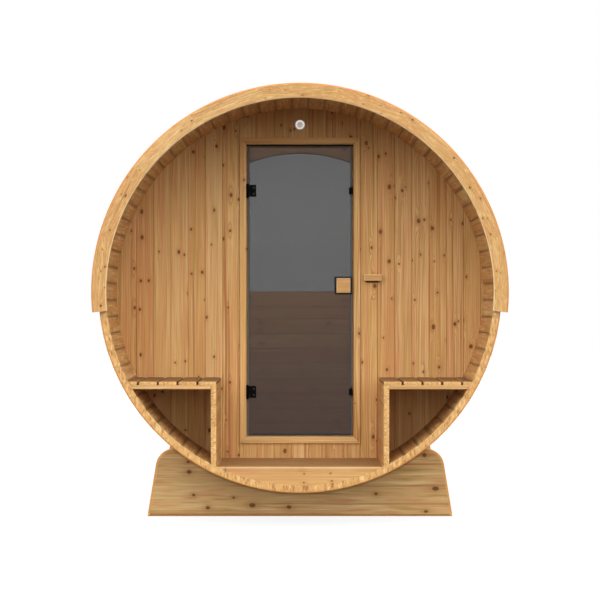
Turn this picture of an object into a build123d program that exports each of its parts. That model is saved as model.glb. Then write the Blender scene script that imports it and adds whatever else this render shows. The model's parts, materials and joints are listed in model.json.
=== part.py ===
"""Barrel sauna with an open porch, a glass door and a half-moon rear window. All sizes are in millimetres.

The barrel lies along Y with its porch towards -Y, +Z is up, and the origin is on the ground under the
middle of the barrel. Staves with a bead on one edge and a cove on the other stand side by side round two
end walls, which sit in grooves (crozes) cut across the staves, and steel bands hold them together. Heights
marked "above the axis" are measured from the barrel's centre line.
"""

import os
from math import ceil, cos, radians, sin, sqrt, tan

from build123d import *

os.makedirs("parts", exist_ok=True)

# ---- Barrel ----
barrel_radius = 1000.0  # to the flat outer face of a stave
ground_gap = 175.0  # under the barrel
barrel_length = 2250.0
stave_thickness = 38.0
staves_in_group = 9  # in each eighth of the barrel
stave_edge = 2.5  # bevel along each stave's edges
bead_radius = 6.0
bead_inset = 2.0  # bead's centre, inside the joint line
joint_gap = 0.3  # between neighbouring staves or boards
seat_gap = 0.2  # between a piece and what it lies against
croze_depth = 12.0
chime_bevel = 3.0  # round the outside of the stave ends
end_wall_thickness = 42.0
porch_depth = 575.0  # stave ends to the face of the front wall
rear_recess = 60.0  # stave ends to the face of the rear wall

# ---- Steel bands ----
band_width = 36.0
band_thickness = 1.6
band_count = 3
band_from_end = 225.0
tensioner_stave = 5  # in the lower left group
lug_spacing = 34.0
lug_height = 20.0
lug_thickness = 5.0
band_bolt_radius = 4.0
band_bolt_length = 62.0
bolt_head_height = 5.5

# ---- Roof skin and end fascias ----
roof_batten_thickness = 12.0
roof_batten_width = 60.0
roof_batten_count = 4
roof_batten_from_end = 65.0
roof_board_count = 38
roof_board_thickness = 20.0
roof_board_gap = 3.0
roof_board_edge = 3.0
fascia_segments = 9
fascia_span = 191.5  # degrees, about the top
fascia_thickness = 25.0
fascia_reach = 35.0  # outside the staves
fascia_inset = 2.0  # inner edge, inside the staves' faces
fascia_outer_bevel = 8.0
fascia_inner_bevel = 4.0

# ---- End wall boards ----
wall_board_cover = 90.4
boards_over_door = 7
board_edge = 2.5
tongue_width = 8.0
tongue_thickness = 8.0

# ---- Door frame, in the front wall ----
frame_face = 35.0
frame_proud = 12.0
stop_width = 16.0
door_opening_height = 1533.0
threshold_height = 112.0  # clear opening above the floor

# ---- Glass door ----
glass_thickness = 8.0
glass_recess = 6.0  # behind the face of the frame
glass_side_gap = 6.0
glass_top_gap = 12.0
glass_bottom_gap = 6.0
glass_to_stop = 5.0
hinge_spacing = 1055.0
hinge_below_middle = 4.5  # of the opening
hinge_plate_width = 36.0
hinge_plate_height = 62.0
hinge_plate_thickness = 5.0
hinge_pin_radius = 2.5
hinge_pin_clearance = 0.1
hinge_pin_forward = 9.0  # pin, in front of the glass
knuckle_radius = 5.5
knuckle_height = 74.0
knuckle_gap = 1.0  # knuckle to the leaf on the jamb
hinge_reach = 7.0  # pin to the edge of the plate
hinge_inner_inset = 13.5  # the inner plate's edge, inside the outer plate's
hinge_leaf_thickness = 2.0
hinge_leaf_depth = 16.0
clamp_bolt_radius = 3.0
clamp_bolt_spacing = 32.0
catch_length = 37.0
catch_cover = 20.5
catch_thickness = 1.5
magnet_depth = 10.0
magnet_proud = 2.0
pull_plate_side = 94.0
pull_plate_thickness = 4.0
pull_width = 72.0
pull_height = 76.0
pull_depth = 28.0
inner_pull_width = 56.0
pull_edge = 4.0
pull_above_middle = 26.0  # of the opening
pull_bolt_spacing = 40.0

# ---- Porch lamp and grip ----
lamp_above_frame = 68.0
lamp_radius = 27.0
lamp_depth = 14.0
lens_radius = 18.0
lens_rise = 5.0
lens_seat = 6.0
grip_width = 92.0
grip_height = 32.0
grip_depth = 34.0
grip_from_frame = 19.0
grip_above_middle = 67.0  # of the opening
grip_finger_radius = 9.0
grip_edge = 4.0

# ---- Porch benches ----
bench_height = 423.0  # above the floor
bench_inner_face = 416.0  # from the middle of the porch
slat_width = 88.5
slat_thickness = 18.0
slat_gap = 10.0
slat_edge = 2.5
bearer_height = 20.0
bearer_width = 24.0
panel_thickness = 27.0
panel_boards = 4
end_setback = 5.0  # bench and floor ends, inside the stave ends

# ---- Floor ----
floor_above_keel = 130.0  # above the underside of the barrel
floor_board_thickness = 25.0
floor_board_gap = 3.0
floor_board_edge = 2.0
porch_floor_boards = 6
cabin_floor_board_pitch = 92.0
floor_side_gap = 2.0  # to the bench panels
joist_thickness = 28.0
cabin_joists = 5

# ---- Rear window ----
window_rim_width = 114.0  # that shows inside the staves
window_sill_above_axis = 9.0
window_rail_height = 70.0
window_rim_segments = 5
glazing_depth = 10.0

# ---- Cradles ----
cradle_width = 1600.0
cradle_height = 350.0
cradle_thickness = 80.0
cradle_slope = 9.2  # degrees, each end off the vertical
cradle_corner = 90.0
cradle_edge = 12.0
cradle_under_wall = 21.0  # middle of the cradle, behind the face of the front wall

# ---- Sizes that follow ----
axis_height = ground_gap + barrel_radius
stave_count = 8 * staves_in_group
half_pitch = 180.0 / stave_count
corner_turn = half_pitch * (staves_in_group % 2)  # to a corner between two staves, from +X
tensioner_angle = 225.0 + (2 * tensioner_stave - staves_in_group + 1) * half_pitch
inner_radius = barrel_radius - stave_thickness
corner_radius = barrel_radius / cos(radians(half_pitch))
inner_corner_radius = inner_radius / cos(radians(half_pitch))
half_length = barrel_length / 2
wall_radius = inner_radius + croze_depth - joint_gap
front_wall_face = -half_length + porch_depth
front_wall_back = front_wall_face + end_wall_thickness
rear_wall_face = half_length - rear_recess
rear_wall_front = rear_wall_face - end_wall_thickness
floor_top = floor_above_keel - barrel_radius
joist_top = floor_top - floor_board_thickness
frame_outer_half = wall_board_cover * boards_over_door / 2
opening_half = frame_outer_half - frame_face
opening_bottom = floor_top + threshold_height
opening_top = opening_bottom + door_opening_height
opening_middle = (opening_bottom + opening_top) / 2
frame_front = front_wall_face - frame_proud
frame_depth = front_wall_back - frame_front
glass_front = frame_front + glass_recess
glass_back = glass_front + glass_thickness
stop_front = glass_back + glass_to_stop
glass_half = opening_half - glass_side_gap
glass_low = opening_bottom + glass_bottom_gap
glass_high = opening_top - glass_top_gap
pin_x = -opening_half + hinge_leaf_thickness + knuckle_gap + knuckle_radius
pin_y = glass_front - hinge_pin_forward
hinge_middle = opening_middle - hinge_below_middle
hinge_heights = (hinge_middle - hinge_spacing / 2, hinge_middle + hinge_spacing / 2)
pull_x = glass_half - pull_plate_side / 2 - 1.0
pull_z = opening_middle + pull_above_middle
lamp_z = opening_top + frame_face + lamp_above_frame
grip_z = opening_middle + grip_above_middle
porch_front = -half_length + end_setback
bench_top = floor_top + bench_height
slat_bottom = bench_top - slat_thickness
slat_pitch = slat_width + slat_gap
panel_outer_face = bench_inner_face + panel_thickness
batten_inner_radius = corner_radius + joint_gap
batten_outer_radius = batten_inner_radius + roof_batten_thickness
roof_board_seat = batten_outer_radius + seat_gap
fascia_outer_radius = barrel_radius + fascia_reach
window_radius = inner_radius - window_rim_width
window_centre_y = (rear_wall_front + rear_wall_face) / 2
cradle_place = front_wall_face + cradle_under_wall
barrel_axis = Axis((0, 0, axis_height), (0, 1, 0))


def spaced(count, from_end):
    """Even places along the barrel, the first and last at a distance from its ends."""
    reach = half_length - from_end
    return [-reach + 2 * reach * place / (count - 1) for place in range(count)]


def across(y):
    """The plane across the barrel at Y, centred on the axis: its x is X, its y is Z, and it faces -Y."""
    return Plane(origin=(0, y, axis_height), x_dir=(1, 0, 0), z_dir=(0, -1, 0))


def lengthwise(x):
    """The plane at X that faces +X, centred on the axis: its x is Y and its y is Z."""
    return Plane(origin=(x, 0, axis_height), x_dir=(0, 1, 0), z_dir=(1, 0, 0))


def radial_plane(angle):
    """The plane through the barrel's axis at an angle from +X: its x runs outward and its y to the rear."""
    out = Vector(cos(radians(angle)), 0, sin(radians(angle)))
    return Plane(origin=(0, 0, axis_height), x_dir=out, z_dir=out.cross(Vector(0, 1, 0)))


def level(z):
    """The level plane at a height above the axis."""
    return Plane.XY.offset(axis_height + z)


def write(node, name):
    """Labels a finished sub-part and writes its STEP file."""
    node.part.label = name
    export_step(node.part, f"parts/{name}.step")


def chord_half(radius, height):
    """Half the width of a circle at a height from its centre."""
    return sqrt(radius * radius - height * height)


def inside_barrel(clearance=seat_gap):
    """Keeps what lies inside the staves' inner faces, in the part that is open."""
    with BuildSketch(across(half_length)) as bore:
        RegularPolygon(inner_radius - clearance, stave_count, major_radius=False, rotation=corner_turn)
    extrude(bore.sketch, amount=barrel_length, mode=Mode.INTERSECT)


def ring_piece(inner, outer, span):
    """A piece of a flat ring, centred on +X."""
    with BuildSketch() as piece:
        with BuildLine():
            outside = CenterArc((0, 0), outer, -span / 2, span)
            inside = CenterArc((0, 0), inner, -span / 2, span)
            Line(outside @ 0, inside @ 0)
            Line(outside @ 1, inside @ 1)
        make_face()
    return piece.sketch


def radial_board(seat_radius, thickness, pitch, gap, edge):
    """The section of a flat board on a round form, centred on +X, as wide as its pitch less the gap."""
    low = seat_radius * tan(radians(pitch / 2)) - gap / 2
    high = (seat_radius + thickness) * tan(radians(pitch / 2)) - gap / 2
    with BuildSketch() as board:
        with BuildLine():
            Polyline(
                (seat_radius, -low),
                (seat_radius + thickness, -high),
                (seat_radius + thickness, high),
                (seat_radius, low),
                close=True,
            )
        make_face()
        chamfer(board.vertices(), edge)
    return board.sketch


def matched_board(cover, thickness):
    """The section of a tongued and grooved board: width along x, thickness along y, tongue towards +x."""
    with BuildSketch() as board:
        Rectangle(cover - joint_gap, thickness)
        chamfer(board.vertices(), board_edge)
        with Locations((cover / 2 + tongue_width / 2 - joint_gap, 0)):
            Rectangle(tongue_width, tongue_thickness)
        with Locations((-(cover / 2 - tongue_width / 2), 0)):
            Rectangle(tongue_width + joint_gap, tongue_thickness + 2 * joint_gap, mode=Mode.SUBTRACT)
    return board.sketch


# ---- Staves: bead on one edge, cove on the other, and a croze for each end wall ----
bead_middle = (inner_radius + barrel_radius) / 2
bead_centre = Vector(
    bead_middle * cos(radians(half_pitch)) + bead_inset * sin(radians(half_pitch)),
    bead_middle * sin(radians(half_pitch)) - bead_inset * cos(radians(half_pitch)),
)
cove_centre = bead_centre.rotate(Axis.Z, -2 * half_pitch)

with BuildSketch() as stave_section:
    add(radial_board(inner_radius, stave_thickness, 2 * half_pitch, joint_gap, stave_edge))
    with Locations(bead_centre):
        Circle(bead_radius)
    with Locations(cove_centre):
        Circle(bead_radius + joint_gap, mode=Mode.SUBTRACT)

stave_groups = {
    "staves_right": 0,
    "staves_upper_right": 45,
    "staves_crown": 90,
    "staves_upper_left": 135,
    "staves_left": 180,
    "staves_lower_left": 225,
    "staves_keel": 270,
    "staves_lower_right": 315,
}
group_span = 2 * half_pitch * staves_in_group
for group_name, group_angle in stave_groups.items():
    first_stave = group_angle - group_span / 2 + half_pitch
    with BuildPart() as staves:
        with BuildSketch(across(half_length)):
            with PolarLocations(0, staves_in_group, first_stave, group_span):
                add(stave_section.sketch)
        extrude(amount=barrel_length)
        for wall_back in (front_wall_back, rear_wall_face):
            with BuildSketch(across(wall_back + seat_gap)):
                Circle(inner_radius + croze_depth)
            extrude(amount=end_wall_thickness + 2 * seat_gap, mode=Mode.SUBTRACT)
        with BuildSketch(radial_plane(0)):
            for end in (-half_length, half_length):
                with Locations((corner_radius, end)):
                    Rectangle(1.4142 * chime_bevel, 1.4142 * chime_bevel, rotation=45)
        revolve(axis=barrel_axis, mode=Mode.SUBTRACT)
    write(staves, group_name)

# ---- Steel bands: each is open at its tensioner, with a lug on each end and a bolt between them ----
band_outer = barrel_radius + seat_gap + band_thickness
bolt_line = band_outer + lug_height / 2


def tensioner_plane(y):
    """Where a band's ends meet: x runs along the band, and the plane faces out from the barrel."""
    out = Vector(cos(radians(tensioner_angle)), 0, sin(radians(tensioner_angle)))
    along = Vector(-sin(radians(tensioner_angle)), 0, cos(radians(tensioner_angle)))
    return Plane(origin=Vector(0, y, axis_height) + out * bolt_line, x_dir=along, z_dir=out)


with BuildPart() as steel_bands:
    for band_y in spaced(band_count, band_from_end):
        with BuildSketch(across(band_y + band_width / 2)):
            RegularPolygon(band_outer, stave_count, major_radius=False, rotation=corner_turn)
            RegularPolygon(
                band_outer - band_thickness,
                stave_count,
                major_radius=False,
                rotation=corner_turn,
                mode=Mode.SUBTRACT,
            )
            with PolarLocations(band_outer, 1, tensioner_angle):
                Rectangle(4 * band_thickness, lug_spacing, mode=Mode.SUBTRACT)
        extrude(amount=band_width)
        with BuildSketch(tensioner_plane(band_y).offset(-lug_height / 2 - band_thickness)):
            with GridLocations(lug_spacing, 0, 2, 1):
                Rectangle(lug_thickness, band_width)
        extrude(amount=lug_height + band_thickness)
        with BuildSketch(tensioner_plane(band_y).rotated((0, 90, 0))):
            Circle(band_bolt_radius + joint_gap)
        extrude(amount=lug_spacing, both=True, mode=Mode.SUBTRACT)
write(steel_bands, "steel_bands")

with BuildPart() as band_bolts:
    for band_y in spaced(band_count, band_from_end):
        bolt_axis = tensioner_plane(band_y).rotated((0, 90, 0))
        with BuildSketch(bolt_axis):
            Circle(band_bolt_radius)
        extrude(amount=band_bolt_length / 2, both=True)
        for side in (1, -1):
            head_seat = side * (lug_spacing + lug_thickness + 2 * seat_gap) / 2
            with BuildSketch(bolt_axis.offset(head_seat)):
                RegularPolygon(1.7 * band_bolt_radius, 6)
            extrude(amount=side * bolt_head_height)
write(band_bolts, "band_bolts")

# ---- Roof skin: bent battens on the upper half, boards along the barrel on them ----
roof_pitch = 2 * half_pitch
roof_span = roof_pitch * roof_board_count
with BuildPart() as roof_battens:
    for batten_y in spaced(roof_batten_count, roof_batten_from_end):
        with BuildSketch(across(batten_y + roof_batten_width / 2)):
            with PolarLocations(0, 1, 90):
                add(ring_piece(batten_inner_radius, batten_outer_radius, roof_span - roof_pitch / 2))
        extrude(amount=roof_batten_width)
write(roof_battens, "roof_battens")

roof_halves = {"roof_boards_right": 90 - roof_span / 2, "roof_boards_left": 90}
for half_name, half_start in roof_halves.items():
    with BuildPart() as roof_boards:
        with BuildSketch(across(half_length)):
            with PolarLocations(0, roof_board_count // 2, half_start + roof_pitch / 2, roof_span / 2):
                add(
                    radial_board(
                        roof_board_seat, roof_board_thickness, roof_pitch, roof_board_gap, roof_board_edge
                    )
                )
        extrude(amount=barrel_length)
    write(roof_boards, half_name)

# ---- Fascias: nine sawn segments over the ends of the staves and the roof skin ----
fascia_inner_radius = inner_radius - fascia_inset
segment_span = fascia_span / fascia_segments
segment_gap = joint_gap / fascia_outer_radius * 180 / 3.14159
for fascia_name, fascia_back, facing in (
    ("fascia_front", -half_length, -1),
    ("fascia_rear", half_length, 1),
):
    with BuildPart() as fascia:
        for segment in range(fascia_segments):
            start = 90 + fascia_span / 2 - segment * segment_span - segment_gap / 2
            with BuildSketch(radial_plane(start)):
                fascia_face = fascia_back + facing * fascia_thickness
                with BuildLine():
                    Polyline(
                        (fascia_inner_radius, fascia_back),
                        (fascia_outer_radius, fascia_back),
                        (fascia_outer_radius, fascia_face - facing * fascia_outer_bevel),
                        (fascia_outer_radius - fascia_outer_bevel, fascia_face),
                        (fascia_inner_radius + fascia_inner_bevel, fascia_face),
                        (fascia_inner_radius, fascia_face - facing * fascia_inner_bevel),
                        close=True,
                    )
                make_face()
            revolve(axis=barrel_axis, revolution_arc=segment_span - segment_gap)
    write(fascia, fascia_name)

# ---- Front wall: upright boards beside, over and under the door frame ----
wall_board = matched_board(wall_board_cover, end_wall_thickness)
front_wall_middle = (front_wall_face + front_wall_back) / 2
side_boards = ceil((wall_radius - frame_outer_half) / wall_board_cover)


def end_wall_disc(face_y):
    """Keeps what lies inside the round edge of an end wall whose back is at face_y."""
    with BuildSketch(across(face_y)) as disc:
        Circle(wall_radius)
    extrude(disc.sketch, amount=end_wall_thickness, mode=Mode.INTERSECT)


for wall_name, side in (("front_wall_right", 1), ("front_wall_left", -1)):
    with BuildPart() as side_wall:
        with BuildSketch(level(-wall_radius)):
            for board in range(side_boards):
                board_middle = side * (frame_outer_half + (board + 0.5) * wall_board_cover)
                with Locations((board_middle, front_wall_middle)):
                    add(wall_board)
        extrude(amount=2 * wall_radius)
        with BuildSketch(across(front_wall_back)):
            with Locations((side * (frame_outer_half + wall_radius) / 2, 0)):
                Rectangle(wall_radius - frame_outer_half, 2 * wall_radius)
        extrude(amount=end_wall_thickness, mode=Mode.INTERSECT)
        end_wall_disc(front_wall_back)
    write(side_wall, wall_name)

for wall_name, low, high in (
    ("front_wall_over_door", opening_top + frame_face, wall_radius),
    ("front_wall_under_door", -wall_radius, opening_bottom - frame_face),
):
    with BuildPart() as short_wall:
        with BuildSketch(level(low)):
            with Locations((0, front_wall_middle)):
                with GridLocations(wall_board_cover, 0, boards_over_door, 1):
                    add(wall_board)
            with Locations((0, front_wall_middle)):
                Rectangle(2 * frame_outer_half, end_wall_thickness, mode=Mode.INTERSECT)
        extrude(amount=high - low)
        end_wall_disc(front_wall_back)
    write(short_wall, wall_name)

# ---- Door frame: rebated, with mitred corners ----
with BuildPart() as door_frame:
    with BuildSketch(across(front_wall_back)):
        with Locations((0, opening_middle)):
            Rectangle(2 * frame_outer_half, door_opening_height + 2 * frame_face)
            Rectangle(2 * opening_half, door_opening_height, mode=Mode.SUBTRACT)
    extrude(amount=frame_depth)
    with BuildSketch(across(front_wall_back)):
        with Locations((0, opening_middle)):
            Rectangle(2 * opening_half, door_opening_height)
            Rectangle(
                2 * (opening_half - stop_width),
                door_opening_height - 2 * stop_width,
                mode=Mode.SUBTRACT,
            )
    extrude(amount=front_wall_back - stop_front)
    with BuildSketch(across(front_wall_back)):
        for side in (-1, 1):
            for corner_z, lean in ((opening_top, 45), (opening_bottom, -45)):
                with Locations(Location((side * opening_half, corner_z, 0), (0, 0, side * lean))):
                    Rectangle(4 * frame_face, joint_gap)
    extrude(amount=frame_depth, mode=Mode.SUBTRACT)
write(door_frame, "door_frame")

# ---- Glass door, drilled for its hinges and pulls ----
hinge_bolt_x = pin_x + hinge_reach + hinge_inner_inset + (hinge_plate_width - hinge_inner_inset) / 2
with BuildPart() as door_glass:
    with BuildSketch(across(glass_back)):
        with Locations((0, (glass_low + glass_high) / 2)):
            Rectangle(2 * glass_half, glass_high - glass_low)
        with Locations(*[(hinge_bolt_x, hinge_z) for hinge_z in hinge_heights]):
            with GridLocations(0, clamp_bolt_spacing, 1, 2):
                Circle(clamp_bolt_radius + joint_gap, mode=Mode.SUBTRACT)
        with Locations((pull_x, pull_z)):
            with GridLocations(0, pull_bolt_spacing, 1, 2):
                Circle(clamp_bolt_radius + joint_gap, mode=Mode.SUBTRACT)
    extrude(amount=glass_thickness)
write(door_glass, "door_glass")

# ---- Hinges: a leaf and pin on the jamb, a clamp on the glass, and knuckles that share the pin ----
knuckle_split = knuckle_height / 3
with BuildPart() as hinge_leaves:
    for hinge_z in hinge_heights:
        with BuildSketch(level(hinge_z - knuckle_height / 2)):
            with Locations((pin_x, pin_y)):
                Circle(knuckle_radius)
            with Locations(((-opening_half + pin_x) / 2, pin_y)):
                Rectangle(pin_x + opening_half, 2 * hinge_leaf_thickness)
        extrude(amount=knuckle_height)
        with BuildSketch(level(hinge_z)):
            with Locations((pin_x, pin_y)):
                Rectangle(3 * knuckle_radius, 3 * knuckle_radius)
        extrude(amount=knuckle_split / 2, both=True, mode=Mode.SUBTRACT)
        with BuildSketch(level(hinge_z)):
            with Locations((-opening_half + hinge_leaf_thickness / 2, pin_y + hinge_leaf_depth / 2)):
                Rectangle(hinge_leaf_thickness, hinge_leaf_depth)
            with Locations((pin_x, pin_y)):
                Circle(hinge_pin_radius)
        extrude(amount=knuckle_height / 2, both=True)
write(hinge_leaves, "hinge_leaves")

outer_plate_x = pin_x + hinge_reach + hinge_plate_width / 2
with BuildPart() as hinge_clamps:
    for hinge_z in hinge_heights:
        with BuildSketch(across(glass_front - seat_gap)):
            with Locations((outer_plate_x, hinge_z)):
                Rectangle(hinge_plate_width, hinge_plate_height)
        extrude(amount=hinge_plate_thickness)
        web_depth = glass_front - seat_gap - pin_y
        with BuildSketch(level(hinge_z)):
            with Locations((pin_x, pin_y)):
                Circle(knuckle_radius)
            with Locations((pin_x + hinge_reach / 2 + 1, pin_y + web_depth / 2)):
                Rectangle(hinge_reach + 2, web_depth)
        extrude(amount=knuckle_split / 2 - joint_gap, both=True)
        with BuildSketch(level(hinge_z)):
            with Locations((pin_x, pin_y)):
                Circle(hinge_pin_radius + hinge_pin_clearance)
        extrude(amount=knuckle_split, both=True, mode=Mode.SUBTRACT)
        with BuildSketch(across(glass_back + seat_gap + hinge_plate_thickness)):
            with Locations((hinge_bolt_x, hinge_z)):
                Rectangle(hinge_plate_width - hinge_inner_inset, hinge_plate_height)
        extrude(amount=hinge_plate_thickness)
        with BuildSketch(across(glass_back + seat_gap)):
            with Locations((hinge_bolt_x, hinge_z)):
                with GridLocations(0, clamp_bolt_spacing, 1, 2):
                    Circle(clamp_bolt_radius)
        extrude(amount=glass_thickness + 2 * seat_gap)
        with BuildSketch(across(glass_front - seat_gap - hinge_plate_thickness)):
            with Locations((hinge_bolt_x, hinge_z)):
                with GridLocations(0, clamp_bolt_spacing, 1, 2):
                    Circle(2 * clamp_bolt_radius)
        extrude(amount=hinge_leaf_thickness)
write(hinge_clamps, "hinge_clamps")

# ---- Catches: clips on the glass, and magnets on the jamb's stop ----
with BuildPart() as door_catches:
    for catch_z in hinge_heights:
        with BuildSketch(level(catch_z - catch_length / 2)):
            clip_depth = glass_thickness + 2 * (seat_gap + catch_thickness)
            clip_outer = glass_half + seat_gap + catch_thickness
            with Locations((clip_outer - catch_cover / 2, (glass_front + glass_back) / 2)):
                Rectangle(catch_cover, clip_depth)
            with Locations((clip_outer - catch_thickness - catch_cover / 2, (glass_front + glass_back) / 2)):
                Rectangle(catch_cover, glass_thickness + 2 * seat_gap, mode=Mode.SUBTRACT)
        extrude(amount=catch_length)
write(door_catches, "door_catches")

with BuildPart() as door_magnets:
    for catch_z in hinge_heights:
        with BuildSketch(across(stop_front)):
            with Locations((opening_half - stop_width + magnet_depth / 2, catch_z)):
                Rectangle(magnet_depth, catch_length)
        extrude(amount=magnet_proud)
write(door_magnets, "door_magnets")

# ---- Door pull: a wood block on a dark plate outside, a slimmer block inside, bolts through the glass ----
with BuildPart() as pull_plate:
    with BuildSketch(across(glass_front - seat_gap)):
        with Locations((pull_x, pull_z)):
            Rectangle(pull_plate_side, pull_plate_side)
    extrude(amount=pull_plate_thickness)
    with BuildSketch(across(glass_back + seat_gap)):
        with Locations((pull_x, pull_z)):
            with GridLocations(0, pull_bolt_spacing, 1, 2):
                Circle(clamp_bolt_radius)
    extrude(amount=glass_thickness + 2 * seat_gap)
write(pull_plate, "pull_plate")

for block_name, block_back, width, facing in (
    ("pull_outside", glass_front - seat_gap - pull_plate_thickness, pull_width, 1),
    ("pull_inside", glass_back + seat_gap, inner_pull_width, -1),
):
    with BuildPart() as pull_block:
        with BuildSketch(across(block_back)):
            with Locations((pull_x, pull_z)):
                Rectangle(width, pull_height)
        extrude(amount=facing * pull_depth)
        grip_face = pull_block.faces().sort_by(Axis.Y)[0 if facing > 0 else -1]
        fillet(grip_face.edges(), pull_edge)
    write(pull_block, block_name)

# ---- Porch lamp over the door ----
with BuildPart() as lamp_ring:
    with BuildSketch(across(front_wall_face)):
        with Locations((0, lamp_z)):
            Circle(lamp_radius)
    extrude(amount=lamp_depth)
    fillet(lamp_ring.faces().sort_by(Axis.Y)[0].edges(), lamp_depth / 3)
    with BuildSketch(across(front_wall_face - lamp_depth + lens_seat)):
        with Locations((0, lamp_z)):
            Circle(lens_radius + joint_gap)
    extrude(amount=lamp_depth, mode=Mode.SUBTRACT)
write(lamp_ring, "lamp_ring")

lens_sphere = (lens_radius**2 + lens_rise**2) / (2 * lens_rise)
with BuildPart() as lamp_lens:
    lens_back = front_wall_face - lamp_depth + lens_seat
    lens_middle = (0, lens_back, axis_height + lamp_z)
    with BuildSketch(Plane(origin=lens_middle, x_dir=(1, 0, 0), z_dir=(0, 0, 1))):
        with BuildLine():
            dome = RadiusArc((0, -lens_rise), (lens_radius, 0), -lens_sphere)
            Line((lens_radius, 0), (0, 0))
            Line((0, 0), (0, -lens_rise))
        make_face()
    revolve(axis=Axis((0, 0, axis_height + lamp_z), (0, 1, 0)))
write(lamp_lens, "lamp_lens")

# ---- Hand grip beside the door, hollowed under for the fingers ----
with BuildPart() as hand_grip:
    grip_x = frame_outer_half + grip_from_frame + grip_width / 2
    with BuildSketch(lengthwise(grip_x)):
        with Locations((front_wall_face - grip_depth / 2, grip_z)):
            Rectangle(grip_depth, grip_height)
            with Locations((0, -grip_height / 2)):
                Circle(grip_finger_radius, mode=Mode.SUBTRACT)
    extrude(amount=grip_width / 2, both=True)
    fillet(hand_grip.faces().sort_by(Axis.Y)[0].edges(), grip_edge)
write(hand_grip, "hand_grip")

# ---- Porch benches: slats along the barrel on bearers, closed in front of the knees by a panel ----
bench_length = front_wall_face - porch_front
slats_per_bench = ceil((chord_half(inner_radius, bench_top) - bench_inner_face) / slat_pitch)
panel_bottom = -chord_half(inner_corner_radius, bench_inner_face)
panel_pitch = (slat_bottom - panel_bottom) / panel_boards
for side_name, side in (("left", -1), ("right", 1)):
    with BuildPart() as bench_slats:
        with BuildSketch(across(front_wall_face)):
            for slat in range(slats_per_bench):
                slat_middle = bench_inner_face + slat * slat_pitch + slat_width / 2
                with Locations((side * slat_middle, bench_top - slat_thickness / 2)):
                    Rectangle(slat_width, slat_thickness)
        extrude(amount=bench_length)
        chamfer(bench_slats.edges().filter_by(Axis.Y).group_by(Axis.Z)[-1], slat_edge)
        inside_barrel()
    write(bench_slats, f"bench_slats_{side_name}")

    with BuildPart() as bench_panel:
        with BuildSketch(lengthwise(side * (bench_inner_face + panel_thickness / 2))):
            for board in range(panel_boards):
                board_top = slat_bottom - board * panel_pitch
                with Locations((front_wall_face - bench_length / 2, board_top - panel_pitch / 2)):
                    Rectangle(bench_length, panel_pitch - joint_gap)
        extrude(amount=panel_thickness / 2, both=True)
        chamfer(bench_panel.edges().filter_by(Axis.Y), board_edge)
        inside_barrel()
    write(bench_panel, f"bench_panel_{side_name}")

with BuildPart() as bench_bearers:
    for bearer_back in (front_wall_face, porch_front + bearer_width):
        with BuildSketch(across(bearer_back)):
            for side in (-1, 1):
                bearer_middle = side * (panel_outer_face + joint_gap + inner_radius) / 2
                with Locations((bearer_middle, slat_bottom - bearer_height / 2)):
                    Rectangle(inner_radius - panel_outer_face - joint_gap, bearer_height)
        extrude(amount=bearer_width)
    inside_barrel()
write(bench_bearers, "bench_bearers")


# ---- Floors on joists cut to the barrel's curve: the porch's boards lie across it, the cabin's along it ----
def joist(front):
    """A board on edge, its top under the floor boards; the barrel trims it to a segment."""
    with BuildSketch(across(front + joist_thickness)) as board:
        with Locations((0, joist_top - inner_radius / 4)):
            Rectangle(2 * inner_radius, inner_radius / 2)
    extrude(board.sketch, amount=joist_thickness)


with BuildPart() as porch_floor:
    porch_board_pitch = bench_length / porch_floor_boards
    with BuildSketch(lengthwise(0)):
        for board in range(porch_floor_boards):
            board_middle = porch_front + (board + 0.5) * porch_board_pitch
            with Locations((board_middle, floor_top - floor_board_thickness / 2)):
                Rectangle(porch_board_pitch - floor_board_gap, floor_board_thickness)
    extrude(amount=bench_inner_face - floor_side_gap, both=True)
    chamfer(porch_floor.edges().filter_by(Axis.X).group_by(Axis.Z)[-1], floor_board_edge)
    inside_barrel()
write(porch_floor, "porch_floor")

with BuildPart() as porch_joists:
    joist(porch_front)
    joist(front_wall_face - joist_thickness)
    inside_barrel()
write(porch_joists, "porch_joists")

with BuildPart() as cabin_floor:
    cabin_floor_boards = round(2 * chord_half(inner_radius, floor_top) / cabin_floor_board_pitch)
    with BuildSketch(across(rear_wall_front)):
        with Locations((0, floor_top - floor_board_thickness / 2)):
            with GridLocations(cabin_floor_board_pitch, 0, cabin_floor_boards, 1):
                Rectangle(cabin_floor_board_pitch - floor_board_gap, floor_board_thickness)
    extrude(amount=rear_wall_front - front_wall_back)
    chamfer(cabin_floor.edges().filter_by(Axis.Y).group_by(Axis.Z)[-1], floor_board_edge)
    inside_barrel()
write(cabin_floor, "cabin_floor")

with BuildPart() as cabin_floor_joists:
    joist_run = rear_wall_front - front_wall_back - joist_thickness
    for place in range(cabin_joists):
        joist(front_wall_back + place * joist_run / (cabin_joists - 1))
    inside_barrel()
write(cabin_floor_joists, "cabin_joists")

# ---- Rear wall: level boards under a rail, a sawn rim over it, and a half-moon of glass between ----
rail_bottom = window_sill_above_axis - window_rail_height
rear_boards = ceil((wall_radius + rail_bottom) / wall_board_cover)
glass_edge_radius = window_radius + glazing_depth


def glazing_groove():
    """Cuts the groove that the window's glass stands in."""
    with BuildSketch(across(window_centre_y + glass_thickness / 2 + seat_gap)) as groove:
        Circle(glass_edge_radius + joint_gap)
        with Locations((0, window_sill_above_axis - glazing_depth - joint_gap + glass_edge_radius)):
            Rectangle(3 * glass_edge_radius, 2 * glass_edge_radius, mode=Mode.INTERSECT)
    extrude(groove.sketch, amount=glass_thickness + 2 * seat_gap, mode=Mode.SUBTRACT)


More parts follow.
